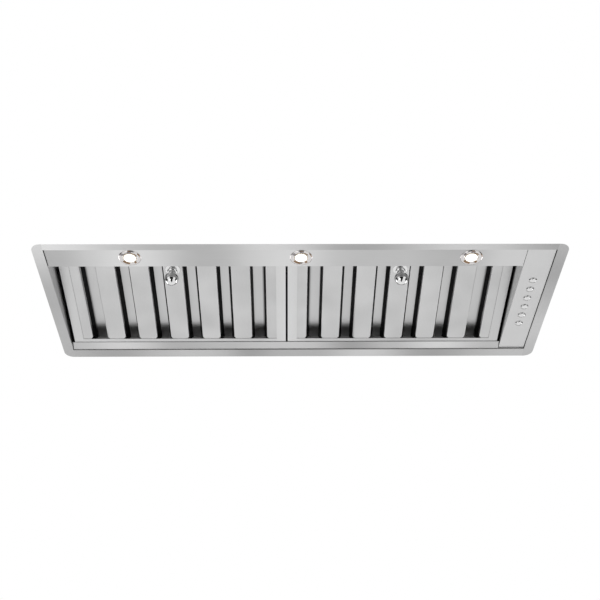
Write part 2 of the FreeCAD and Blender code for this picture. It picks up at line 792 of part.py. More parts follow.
def make_catches():
    """Four leaf catches on the curb that press on the filters' front rails."""
    lip = dim("curb_rear")
    skin = dim("catch_gauge")
    foot = dim("light_box_height") + 1
    top = dim("curb_top")
    crown = top - 4
    swing = dim("pivot_y") - math.sqrt(dim("reach") ** 2 - (crown - dim("pivot_rise")) ** 2)
    press = swing - 0.35
    leaf = [(lip, foot), (lip + skin, foot), (lip + skin, foot + 5), (press, crown - 1),
            (press, crown + 1), (lip + skin, top + 1.5), (lip, top + 1.5),
            (press - skin, crown + 0.5), (press - skin, crown - 0.7), (lip, foot + 5.2)]
    half = dim("catch_width") / 2
    catches = []
    for side in ("left", "right"):
        for hand in (-1, 1):
            x = dim(side + "_filter_x") + hand * dim("catch_spacing") / 2
            catches.append(prism([V(x - half, y, z) for y, z in leaf], V(2 * half, 0, 0)))
    return keep(group("filter_catches", catches))


def make_filters():
    for side in ("left", "right"):
        make_filter_frame(side)
        make_lower_vanes(side)
        make_upper_vanes(side)
        make_knob(side)
        make_knob_screw(side)
    make_catches()


# ---------------------------------------------------------------- buttons

def button_places():
    """Middles of the six buttons, front to rear."""
    return [dim("button_centre") + (i - 2.5) * dim("button_pitch") for i in range(6)]


def make_buttons():
    """Six sprung caps in fixed bezels, over switches on a circuit board."""
    x = dim("panel_centre")
    for number, y in enumerate(button_places(), start=1):
        cap = turned("button_%d" % number, [
            ("0", "- bezel_proud - 1"),
            ("button_radius - 2.5", "- bezel_proud - 0.6"),
            ("button_radius", "- bezel_proud + 0.6"),
            ("button_radius", "gauge + 1.4"),
            ("button_radius + running_fit + 0.5", "gauge + 1.4"),
            ("button_radius + running_fit + 0.5", "gauge + 2.4"),
            ("2", "gauge + 2.4"),
            ("2", "gauge + board_height - 3.3 - button_travel"),
            ("0", "gauge + board_height - 3.3 - button_travel"),
        ])
        cap.Placement.Base = V(x, y, dim("recess"))
        keep(cap)
    keep(group("button_bezels", [bezel(x, y) for y in button_places()]))
    keep(group("button_switches", [switch(x, y) for y in button_places()]))
    make_board(x)


def bezel(x, y):
    """A stepped ring: a rounded rim below the panel and a sleeve through it."""
    bore = dim("button_radius") + dim("running_fit")
    rim = dim("bezel_radius")
    proud = dim("bezel_proud")
    sleeve = bore + 0.6
    rise = dim("gauge") + 1.2
    profile = [(bore, -proud), (rim - 0.8 * proud, -proud), (rim - 0.2 * proud, -0.6 * proud),
               (rim, 0), (sleeve, 0), (sleeve, rise), (bore, rise), (bore, -proud)]
    face = Part.Face(Part.makePolygon([V(r, 0, z) for r, z in profile]))
    ring = face.revolve(V(0, 0, 0), Z_AXIS, 360)
    ring.translate(V(x, y, dim("recess")))
    return ring


def switch(x, y):
    """A small square switch under the circuit board."""
    top = dim("board_z")
    return slab(x - 3, x + 3, y - 3, y + 3, top - 3, top)


def make_board(x):
    """The circuit board on four posts that stand on the panel."""
    half = dim("board_width") / 2
    first = button_places()[0] - 20
    last = button_places()[-1] + 20
    low = dim("board_z")
    board = slab(x - half, x + half, first, last, low, low + dim("board_gauge"))
    posts = []
    for px in (x - half + 3.5, x + half - 3.5):
        for py in (first + 4, last - 4):
            floor = dim("recess") + dim("gauge")
            posts.append(hexagon(V(px, py, floor), 2.5, low - floor))
    keep(single("button_board", board))
    keep(group("board_posts", posts))


# ---------------------------------------------------------------- electrics

def make_electrics():
    """Driver of the lights, wiring box with its cover, run capacitor and cable gland."""
    floor = dim("recess") + dim("gauge")
    middle = dim("strip_centre")
    half_width = dim("driver_width") / 2
    half_length = dim("driver_length") / 2
    x = dim("light_pitch") / 2
    driver = slab(x - half_length, x + half_length, middle - half_width, middle + half_width,
                  floor, floor + dim("driver_height"))
    keep(single("led_driver", driver))
    top = dim("wall_top")
    left = dim("gland_x") - dim("wiring_width") / 2
    right = dim("gland_x") + dim("wiring_width") / 2
    front = dim("gland_y") - dim("wiring_front")
    rear = dim("gland_y") + dim("wiring_rear")
    low = top - dim("wiring_drop")
    skin = dim("gauge")
    outer = slab(left, right, front, rear, low, top)
    inner = slab(left + skin, right - skin, front + skin, rear - skin, low - 1, top + 1)
    keep(single("wiring_box", outer.cut(inner)))
    keep(single("wiring_box_cover", slab(left, right, front, rear, low - skin, low)))
    radius = dim("capacitor_radius")
    inset = dim("capacitor_inset")
    can = Part.makeCylinder(radius, dim("capacitor_length"),
                            V(left + inset, rear - inset, low + radius), X_AXIS)
    keep(single("capacitor", can))
    make_gland()


def make_gland():
    """The cable gland through the top panel and its nut inside the wiring box."""
    radius = dim("gland_radius")
    corner = dim("gland_hex")
    dome_height = dim("gland_dome")
    nut_height = dim("nut_height")
    place = V(dim("gland_x"), dim("gland_y"), dim("body_height"))
    thread = Part.makeCylinder(radius - 0.1, dome_height, place - V(0, 0, dome_height - 2))
    dome = Part.makeCone(radius + 1.5, radius - 2, dome_height, place + V(0, 0, dome_height / 2))
    gland = thread.fuse([hexagon(place, corner, dome_height / 2), dome])
    bore = Part.makeCylinder(dim("gland_bore"), 5 * dome_height, place - V(0, 0, 2 * dome_height))
    keep(single("cable_gland", gland.cut(bore).removeSplitter()))
    under = place - V(0, 0, dim("gauge") + nut_height)
    hole = Part.makeCylinder(radius, 2 * nut_height, under - V(0, 0, nut_height / 2))
    keep(single("gland_nut", hexagon(under, corner, nut_height).cut(hole)))


def hexagon(place, radius, height):
    points = []
    for i in range(6):
        turn = math.radians(60 * i)
        points.append(place + V(radius * math.cos(turn), radius * math.sin(turn), 0))
    return prism(points, V(0, 0, height))


# ---------------------------------------------------------------- blower

def scroll_edges(grow):
    """The scroll's outline in Y and Z: quarter arcs whose centres step round a square.

    The outline starts at the tongue, runs over the front and under the impeller and leaves
    upwards at the rear.  grow moves it outwards by a sheet's thickness.
    """
    step = dim("scroll_growth")
    radius = dim("scroll_start") + grow
    centre = V(0, dim("fan_y"), dim("fan_z"))
    top = dim("wall_top")

    def arc(middle, size, start, end):
        places = [middle + V(0, size * math.cos(t), size * math.sin(t)) for t in (
            math.radians(start), math.radians((start + end) / 2), math.radians(end))]
        return Part.Arc(*places), places[0], places[2]

    tongue = dim("tongue_angle")
    first, start, _ = arc(centre, radius, tongue, 180)
    second, _, _ = arc(centre + V(0, step, 0), radius + step, 180, 270)
    third, _, end = arc(centre + V(0, step, step), radius + 2 * step, 270, 360)
    rise = Part.LineSegment(end, V(0, end.y, top))
    return [first, second, third, rise], start, V(0, end.y, top)


def make_scroll():
    """The wrapped sheet of the scroll and its two side plates with round inlets."""
    gauge = dim("scroll_gauge")
    half = dim("scroll_width") / 2
    top = dim("wall_top")
    inner, in_start, in_end = scroll_edges(0)
    outer, out_start, out_end = scroll_edges(gauge)
    throat = [in_start, out_start, V(0, out_start.y, top), V(0, out_start.y + gauge, top),
              V(0, out_start.y + gauge, in_start.z)]
    band = [e.toShape() for e in inner]
    band.append(Part.LineSegment(in_end, out_end).toShape())
    band += [e.toShape() for e in reversed(outer)]
    tongue_end = Part.LineSegment(out_start, in_start).toShape()
    wrap = Part.Face(Part.Wire(Part.__sortEdges__(band + [tongue_end])))
    wrap = wrap.extrude(V(2 * half, 0, 0)).translated(V(-half, 0, 0))
    wall = prism(throat, V(2 * half, 0, 0)).translated(V(-half, 0, 0))
    keep(single("scroll_wrapper", wrap.fuse(wall).removeSplitter()))
    ring = [e.toShape() for e in outer]
    ring.append(Part.LineSegment(out_end, throat[2]).toShape())
    ring.append(Part.LineSegment(throat[2], out_start).toShape())
    plate = Part.Face(Part.Wire(Part.__sortEdges__(ring))).extrude(V(dim("gauge"), 0, 0))
    axis = V(-5, dim("fan_y"), dim("fan_z"))
    plate = plate.cut(Part.makeCylinder(dim("inlet_radius"), 20, axis, X_AXIS))
    foot = slab(0, 14, out_start.y, out_end.y, top - dim("gauge"), top)
    plate = plate.fuse(foot).removeSplitter()
    keep(single("scroll_right_plate", plate.translated(V(half, 0, 0))))
    mirrored = plate.translated(V(half, 0, 0)).mirror(V(0, 0, 0), X_AXIS)
    keep(single("scroll_left_plate", mirrored))


def fan_centre(x):
    return V(x, dim("fan_y"), dim("fan_z"))


def make_impeller():
    """A double-inlet wheel: forward-curved blades between end rings and a middle disc."""
    outer = dim("impeller_radius")
    depth = dim("blade_depth")
    inner = outer - depth
    half = dim("impeller_width") / 2
    gauge = dim("blade_gauge")
    count = int(dim("blade_count"))
    disc = 2.0
    ring = 4.0
    lap = 0.2
    hub_half = dim("hub_length") / 2
    shaft = dim("shaft_radius") + 0.02

    def tube(r_out, r_in, x0, x1):
        solid = Part.makeCylinder(r_out, x1 - x0, V(x0, 0, 0), X_AXIS)
        return solid.cut(Part.makeCylinder(r_in, x1 - x0 + 2, V(x0 - 1, 0, 0), X_AXIS))

    def blade_section():
        """A thin bent section that leans forward on its way out."""
        low = V(ring / 2 - half, 0, inner + lap)
        high = V(ring / 2 - half, depth * 0.45, outer - lap)
        middle = V(ring / 2 - half, depth * 0.06, (inner + outer) / 2)
        back = V(0, gauge, 0)
        return [low, middle, high, high + back, middle + back, low + back]

    blade = prism(blade_section(), V(2 * half - ring, 0, 0))
    blades = []
    for i in range(count):
        copy = blade.copy()
        copy.rotate(V(0, 0, 0), X_AXIS, 360.0 * i / count)
        blades.append(copy)
    wheel = tube(outer, shaft, -disc / 2, disc / 2)
    hub = tube(dim("hub_radius"), shaft, -hub_half, hub_half)
    rings = [tube(outer + 0.6, inner, x, x + ring) for x in (-half, half - ring)]
    wheel = wheel.fuse([hub] + rings).fuse(blades)
    wheel.translate(fan_centre(0))
    keep(single("impeller", wheel))
    axle = Part.makeCylinder(dim("shaft_radius"), dim("motor_length") * 0.7 + hub_half + 10,
                             fan_centre(-hub_half - 5 - dim("motor_length") * 0.7), X_AXIS)
    keep(single("impeller_shaft", axle))


def make_motor():
    """The motor in the left inlet, on a bracket with three arms."""
    radius = dim("motor_radius")
    length = dim("motor_length")
    face = -dim("hub_length") / 2 - 4
    start = face - length
    can = Part.makeCylinder(radius, length, fan_centre(start), X_AXIS)
    rims = [e for e in can.Edges if e.Curve.TypeId == "Part::GeomCircle"]
    can = can.makeChamfer(4, rims)
    slots = 8
    for i in range(slots):
        slot = slab(start - 1, start + 9, -2, 2, radius * 0.55, radius * 0.8)
        slot.rotate(V(0, 0, 0), X_AXIS, 360 * i / slots)
        can = can.cut(slot.translated(V(0, dim("fan_y"), dim("fan_z"))))
    bore = dim("shaft_radius") + dim("running_fit")
    depth = length * 0.7 + 2
    can = can.cut(Part.makeCylinder(bore, depth + 1, fan_centre(face - depth), X_AXIS))
    keep(single("motor", can))
    skin = 3.0
    plane = -dim("scroll_width") / 2 - dim("gauge") - skin
    collar = Part.makeCylinder(radius + 8, skin, V(plane, 0, 0), X_AXIS)
    arms = []
    reach = (dim("inlet_radius") + dim("scroll_start")) / 2 + 3
    for i in range(3):
        arm = slab(plane, plane + skin, -8, 8, radius, reach)
        arm.rotate(V(0, 0, 0), X_AXIS, 120 * i + 30)
        arms.append(arm)
    bracket = collar.fuse(arms)
    bracket = bracket.cut(Part.makeCylinder(radius, skin + 2, V(plane - 1, 0, 0), X_AXIS))
    bracket.translate(V(0, dim("fan_y"), dim("fan_z")))
    keep(single("motor_bracket", bracket.removeSplitter()))


# ---------------------------------------------------------------- duct collar

def make_collar():
    """The round collar with its foot flange, flap seat and holes for the damper pin."""
    body = turned("duct_collar", [
        ("duct_in", "0"),
        ("duct_radius + duct_flange", "0"),
        ("duct_radius + duct_flange", "collar_gauge"),
        ("duct_radius", "collar_gauge"),
        ("duct_radius", "duct_length"),
        ("duct_in", "duct_length"),
        ("duct_in", "damper_height - 0.5 - 0.3"),
        ("duct_in - seat_width", "damper_height - 0.5 - 0.3"),
        ("duct_in - seat_width", "damper_height - 0.5 - 1.3"),
        ("duct_in", "damper_height - 0.5 - 1.3"),
    ])
    hole = new_sketch(body, "collar_pin_holes", "XZ_Plane")
    circle(hole, "0", "damper_height", "damper_pin_radius")
    DOC.recompute()
    before = body.Shape.Volume
    cut = body.newObject("PartDesign::Pocket", "collar_pin_cut")
    cut.Profile = hole
    cut.Type = "ThroughAll"
    cut.Midplane = True
    DOC.recompute()
    if body.Shape.Volume >= before:
        raise ValueError("the pin holes cut nothing")
    body.Placement.Base = V(0, dim("duct_centre"), dim("body_height"))
    keep(body)
    pin = Part.makeCylinder(dim("damper_pin_radius"), 2 * dim("duct_radius"),
                            V(0, -dim("duct_radius"), 0), Y_AXIS)
    pin.translate(damper_centre())
    keep(single("damper_pin", pin))


def damper_centre():
    return V(0, dim("duct_centre"), dim("body_height") + dim("damper_height"))


def make_flap(side, hand):
    """A half disc with two rolled knuckles round the pin; the two flaps' knuckles alternate."""
    radius = dim("duct_in") - 0.5
    knuckle = dim("knuckle_radius")
    bore = dim("damper_pin_radius") + dim("running_fit")
    skin = dim("collar_gauge")
    length = dim("knuckle_length")
    inset = knuckle + 0.6
    disc = Part.makeCylinder(radius, skin, V(0, 0, -skin / 2))
    keep_side = slab(inset, radius + 1, -radius - 1, radius + 1, -skin, skin)
    flap = disc.common(keep_side)
    spread = radius * 0.62
    first = -spread if hand > 0 else -spread + length + 4
    for y in (first, first + spread):
        web = slab(bore + 0.4, inset + 1, y, y + length, -skin / 2, skin / 2)
        roll = Part.makeCylinder(knuckle, length, V(0, y, 0), Y_AXIS)
        flap = flap.fuse([web, roll])
        flap = flap.cut(Part.makeCylinder(bore, length + 2, V(0, y - 1, 0), Y_AXIS))
    flap = flap.removeSplitter()
    if hand < 0:
        flap = flap.mirror(V(0, 0, 0), X_AXIS)
    flap.translate(damper_centre())
    keep(single(side + "_damper_flap", flap))


# ---------------------------------------------------------------- fasteners

def make_screws():
    """Pan heads on the top, on the collar's foot and on the side walls."""
    top = dim("body_height")
    edge_y = dim("rear_out") - 8
    heads = []
    for x in (-0.8, -0.4, 0, 0.4, 0.8):
        for y in (dim("front_out") + 8, edge_y):
            heads.append(pan_head(x * dim("wall_x"), y, top, Z_AXIS))
    keep(group("top_screws", heads))
    ring = dim("duct_radius") + dim("duct_flange") * 0.62
    heads = []
    for i in range(6):
        turn = math.radians(60 * i + 30)
        place = (ring * math.cos(turn), dim("duct_centre") + ring * math.sin(turn))
        heads.append(pan_head(place[0], place[1], top + dim("collar_gauge"), Z_AXIS))
    keep(group("collar_screws", heads))
    heads = []
    for hand in (-1, 1):
        for y in (dim("front_in") + dim("tab_width") / 2, dim("rear_in") - dim("tab_width") / 2):
            for z in (0.45, 0.9):
                heads.append(pan_head(hand * dim("wall_outer"), y, z * top, X_AXIS * hand))
    keep(group("side_screws", heads))


# ---------------------------------------------------------------- the whole insert

def build():
    fill_sheet()
    make_side_panel("left_side_panel", "- ")
    make_side_panel("right_side_panel", "")
    make_cross_panel("front_panel", ("- half_depth", "front_in"), ("front_out", "front_in"),
                     ("front_in", "front_in + tab_width"))
    make_cross_panel("rear_panel", ("rear_in", "half_depth"), ("rear_in", "rear_out"),
                     ("rear_in - tab_width", "rear_in"))
    make_top_panel()
    make_light_box()
    make_rear_strip()
    make_control_panel()
    make_lights()
    make_filters()
    make_buttons()
    make_electrics()
    make_scroll()
    make_impeller()
    make_motor()
    make_collar()
    make_flap("left", -1)
    make_flap("right", 1)
    make_screws()
    DOC.recompute()


def check():
    """Stop before writing anything if an object failed or a shape isn't sound."""
    for item in DOC.Objects:
        if "Invalid" in item.State or "Error" in item.State:
            raise ValueError(item.Label + " failed")
    for part in NODES:
        if part.Shape.isNull() or not part.Shape.isValid():
            raise ValueError(part.Label + " has no sound shape")


def write():
    os.makedirs("parts", exist_ok=True)
    for part in NODES:
        part.Shape.exportStep(os.path.join("parts", part.Label + ".step"))


build()
check()
write()
print(len(NODES), "sub-parts")
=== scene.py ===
"""Looks of a built-in range hood insert, seen from below: brushed stainless sheet, two baffle
filters, chrome knobs, light trims and push buttons, and what the body holds above them.

Lengths are in metres in the part's own frame: +X right, +Y to the rear, +Z up.  Turned profiles,
grain and relief are in millimetres.
"""

import json
import math

import bpy
from mathutils import Matrix, Vector


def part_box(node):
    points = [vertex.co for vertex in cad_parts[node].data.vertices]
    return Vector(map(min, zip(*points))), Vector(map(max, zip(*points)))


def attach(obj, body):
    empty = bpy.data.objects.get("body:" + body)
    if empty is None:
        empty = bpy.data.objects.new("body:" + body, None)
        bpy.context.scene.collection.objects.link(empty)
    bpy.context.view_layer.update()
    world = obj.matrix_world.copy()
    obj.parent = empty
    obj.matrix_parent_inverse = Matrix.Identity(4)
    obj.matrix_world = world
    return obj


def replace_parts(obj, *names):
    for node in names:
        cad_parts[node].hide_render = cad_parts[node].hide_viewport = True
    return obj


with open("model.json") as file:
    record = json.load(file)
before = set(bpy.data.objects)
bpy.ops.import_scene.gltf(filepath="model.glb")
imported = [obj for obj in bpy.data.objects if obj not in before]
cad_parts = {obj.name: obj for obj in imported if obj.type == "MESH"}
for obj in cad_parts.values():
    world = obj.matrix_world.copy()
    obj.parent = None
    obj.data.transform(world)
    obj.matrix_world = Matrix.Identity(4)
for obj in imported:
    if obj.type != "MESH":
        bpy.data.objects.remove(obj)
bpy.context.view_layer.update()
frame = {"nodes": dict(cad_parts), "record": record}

NODES = frame["nodes"]
SLOT = {row["node"]: row["material_slot"] for row in frame["record"]["subparts"]}
BODY = {node: body for body, nodes in frame["record"]["behaviour"]["bodies"].items()
        for node in nodes}

MM = 0.001
# The filters rise 8.8 degrees towards the front, and UP is square to them.
TILT = math.radians(8.8)
UP = Vector((0, math.sin(TILT), math.cos(TILT)))
VANE_PITCH = 78.5 * MM
LIGHTS = (1, 2, 3)
BUTTONS = (1, 2, 3, 4, 5, 6)


def middle(node):
    """The middle, lowest and highest corner of a CAD piece at rest."""
    low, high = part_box(node)
    return (low + high) / 2, low, high


# ---------------------------------------------------------------- shader helpers

# The real scratches are about 0.1 mm apart, too fine to show, so they are drawn this coarse.
SCRATCH_LENGTH = 120 * MM
SCRATCH_WIDTH = 1.6 * MM
SCRATCH_CONTRAST = 0.025
BRUSHED_ROUGHNESS = 0.34
BRUSHED_SPREAD = 0.05
SCRATCH_RELIEF = 0.2 * MM
PLAIN_SPREAD = 0.15
CLOUD_SIZE = 90 * MM
# Painted shade on what shows through a gap between two lower vanes: it is bright this far from
# the gap's middle line, and painted at its darkest from the second distance on.
GAP_BRIGHT = 9 * MM
GAP_DARK = 16 * MM
GAP_DARKEST = 0.06
# The darkest level of the painted shade up the control panel's side wall.
WALL_DARKEST = 0.02
# Noise mostly lies between these values, and the tints of cells between the wider ones.
NOISE_SPAN = {"From Min": 0.3, "From Max": 0.7}
TINT_SPAN = {"From Min": 0.2, "From Max": 0.8}


def linear(hex_colour):
    """An sRGB hex colour such as "c8cacc" as linear red, green, blue and alpha."""
    parts = [int(hex_colour[i:i + 2], 16) / 255 for i in (0, 2, 4)]
    return [c / 12.92 if c <= 0.04045 else ((c + 0.055) / 1.055) ** 2.4 for c in parts] + [1.0]


def add_node(tree, kind, values=(), links=(), **settings):
    """One shader node with its settings, its input values and the sockets linked to it."""
    made = tree.nodes.new(kind)
    for name, setting in settings.items():
        setattr(made, name, setting)
    for name, number in dict(values).items():
        made.inputs[name].default_value = number
    for name, socket in dict(links).items():
        tree.links.new(socket, made.inputs[name])
    return made


def new_material(name):
    """An empty node material, its tree and its Principled shader."""
    material = bpy.data.materials.new(name)
    material.use_nodes = True
    tree = material.node_tree
    return material, tree, tree.nodes["Principled BSDF"]


def with_painted_reflection_bands(tree, level, coordinate, painted_reflection_bands):
    """A level of grey with soft painted reflection bands added, each given by its middle, its
    reach to each side (both in metres) and its strength."""
    for centre, reach, strength in painted_reflection_bands:
        offset = add_node(tree, "ShaderNodeMath", {1: centre}, {0: coordinate},
                          operation="SUBTRACT")
        distance = add_node(tree, "ShaderNodeMath", (), {0: offset.outputs["Value"]},
                            operation="ABSOLUTE")
        band = add_node(tree, "ShaderNodeMapRange",
                        {"From Max": reach, "To Min": strength, "To Max": 0.0},
                        {"Value": distance.outputs["Value"]}, interpolation_type="SMOOTHSTEP")
        level = add_node(tree, "ShaderNodeMath", (), {0: level, 1: band.outputs["Result"]},
                         operation="ADD").outputs["Value"]
    return level


def painted_shade_beside_gaps(tree, level, coordinate, gap_middle):
    """A level of grey with painted shade beside a row of gaps, one vane pitch apart."""
    offset = add_node(tree, "ShaderNodeMath", {1: gap_middle}, {0: coordinate},
                      operation="SUBTRACT")
    distance = add_node(tree, "ShaderNodeMath", {1: VANE_PITCH / 2},
                        {0: offset.outputs["Value"]}, operation="PINGPONG")
    edge = add_node(tree, "ShaderNodeMapRange",
                    {"From Min": GAP_BRIGHT, "From Max": GAP_DARK,
                     "To Min": 1.0, "To Max": GAP_DARKEST},
                    {"Value": distance.outputs["Value"]}, interpolation_type="SMOOTHSTEP")
    return add_node(tree, "ShaderNodeMath", (), {0: level, 1: edge.outputs["Result"]},
                    operation="MULTIPLY").outputs["Value"]


def brushed_stainless(name, grain, tone, painted_reflection_bands=(), along="X", mottle=0.02, gap_middle=None):
    """304 stainless with a No. 4 brushed finish: fine scratches along the grain's axis, faint
    mottling, broad soft light and dark bands painted in as reflections, and painted shade beside
    a row of gaps where one is given."""
    material, tree, shader = new_material(name)
    place = add_node(tree, "ShaderNodeTexCoord").outputs["Object"]
    stretch = [1 / SCRATCH_LENGTH if axis == grain else 1 / SCRATCH_WIDTH for axis in "XYZ"]
    scratch_map = add_node(tree, "ShaderNodeMapping", {"Scale": stretch}, {"Vector": place})
    scratches = add_node(tree, "ShaderNodeTexNoise",
                         {"Scale": 1.0, "Detail": 3.0, "Roughness": 0.6},
                         {"Vector": scratch_map.outputs["Vector"]}).outputs["Fac"]
    lines = add_node(tree, "ShaderNodeMapRange",
                     {**NOISE_SPAN, "To Min": 1 - SCRATCH_CONTRAST,
                      "To Max": 1 + SCRATCH_CONTRAST}, {"Value": scratches})
    clouds = add_node(tree, "ShaderNodeTexNoise", {"Scale": 1 / CLOUD_SIZE, "Detail": 1.0},
                      {"Vector": place}).outputs["Fac"]
    mottling = add_node(tree, "ShaderNodeMapRange",
                        {**NOISE_SPAN, "To Min": -mottle, "To Max": mottle},
                        {"Value": clouds})
    level = add_node(tree, "ShaderNodeMath", (),
                     {0: lines.outputs["Result"], 1: mottling.outputs["Result"]},
                     operation="ADD").outputs["Value"]
    axes = add_node(tree, "ShaderNodeSeparateXYZ", (), {"Vector": place})
    # Painted reflection bands along the sheet.
    level = with_painted_reflection_bands(tree, level, axes.outputs[along], painted_reflection_bands)
    # Painted shade beside the gaps.
    if gap_middle is not None:
        level = painted_shade_beside_gaps(tree, level, axes.outputs["X"], gap_middle)
    colour = add_node(tree, "ShaderNodeVectorMath", {0: linear(tone)[:3]}, {1: level},
                      operation="MULTIPLY")
    tree.links.new(colour.outputs["Vector"], shader.inputs["Base Color"])
    roughness = add_node(tree, "ShaderNodeMapRange",
                         {**NOISE_SPAN, "To Min": BRUSHED_ROUGHNESS - BRUSHED_SPREAD,
                          "To Max": BRUSHED_ROUGHNESS + BRUSHED_SPREAD}, {"Value": scratches})
    tree.links.new(roughness.outputs["Result"], shader.inputs["Roughness"])
    bump = add_node(tree, "ShaderNodeBump", {"Strength": 0.1, "Distance": SCRATCH_RELIEF},
                    {"Height": scratches})
    tree.links.new(bump.outputs["Normal"], shader.inputs["Normal"])
    shader.inputs["Metallic"].default_value = 1.0
    return material


def plain(name, tone, metallic, roughness, grain=1.5, uneven=0.03, relief=0.02, cells=False,
          painted_shade_heights=None):
    """An even finish with the slight unevenness of the real one, as soft noise or as cells like
    the spangles of hot-dip zinc.  Painted shade heights are two heights in millimetres, at the
    filters' slope, between which the surface is painted dark as shade."""
    material, tree, shader = new_material(name)
    place = add_node(tree, "ShaderNodeTexCoord").outputs["Object"]
    if cells:
        spots = add_node(tree, "ShaderNodeTexVoronoi", {"Scale": 1 / (grain * MM)},
                         {"Vector": place})
        tint = add_node(tree, "ShaderNodeSeparateColor", (), {"Color": spots.outputs["Color"]})
        spread = tint.outputs["Red"]
    else:
        spread = add_node(tree, "ShaderNodeTexNoise", {"Scale": 1 / (grain * MM), "Detail": 2.0},
                          {"Vector": place}).outputs["Fac"]
    level = add_node(tree, "ShaderNodeMapRange",
                     {**TINT_SPAN, "To Min": 1 - uneven, "To Max": 1 + uneven},
                     {"Value": spread}).outputs["Result"]
    # Painted shade: darker higher up, between the two heights.
    if painted_shade_heights:
        above = add_node(tree, "ShaderNodeVectorMath", {1: (0, math.tan(TILT), 1)}, {0: place},
                         operation="DOT_PRODUCT")
        shadow = add_node(tree, "ShaderNodeMapRange",
                          {"From Min": painted_shade_heights[0] * MM, "From Max": painted_shade_heights[1] * MM,
                           "To Min": 1.0, "To Max": WALL_DARKEST},
                          {"Value": above.outputs["Value"]}, interpolation_type="SMOOTHSTEP")
        level = add_node(tree, "ShaderNodeMath", (), {0: level, 1: shadow.outputs["Result"]},
                         operation="MULTIPLY").outputs["Value"]
    colour = add_node(tree, "ShaderNodeVectorMath", {0: linear(tone)[:3]}, {1: level},
                      operation="MULTIPLY")
    tree.links.new(colour.outputs["Vector"], shader.inputs["Base Color"])
    gloss = add_node(tree, "ShaderNodeMapRange",
                     {**TINT_SPAN, "To Min": roughness * (1 - PLAIN_SPREAD),
                      "To Max": roughness * (1 + PLAIN_SPREAD)},
                     {"Value": spread})
    tree.links.new(gloss.outputs["Result"], shader.inputs["Roughness"])
    if relief:
        bump = add_node(tree, "ShaderNodeBump", {"Strength": 0.2, "Distance": relief * MM},
                        {"Height": spread})
        tree.links.new(bump.outputs["Normal"], shader.inputs["Normal"])
    shader.inputs["Metallic"].default_value = metallic
    return material


def lit_lens():
    """Frosted lens with its lamp on: one even warm white, with no sparkle."""
    material, tree, shader = new_material("frosted_lens_lit")
    shader.inputs["Base Color"].default_value = linear("fffcf6")
    shader.inputs["Roughness"].default_value = 0.5
    shader.inputs["Emission Color"].default_value = linear("fffdf8")
    shader.inputs["Emission Strength"].default_value = 1.6
    return material


# ---------------------------------------------------------------- finishes

def upper_vanes(side):
    """The vanes behind the gaps: the same brushed sheet, with painted shade beside the gaps for
    the shadow of the lower vanes.
    """
    gap_middle = middle(side + "_filter_frame")[0].x + VANE_PITCH / 2
    return brushed_stainless("stainless_%s_upper_vanes" % side, "Y", "cccccc",
                             gap_middle=gap_middle)


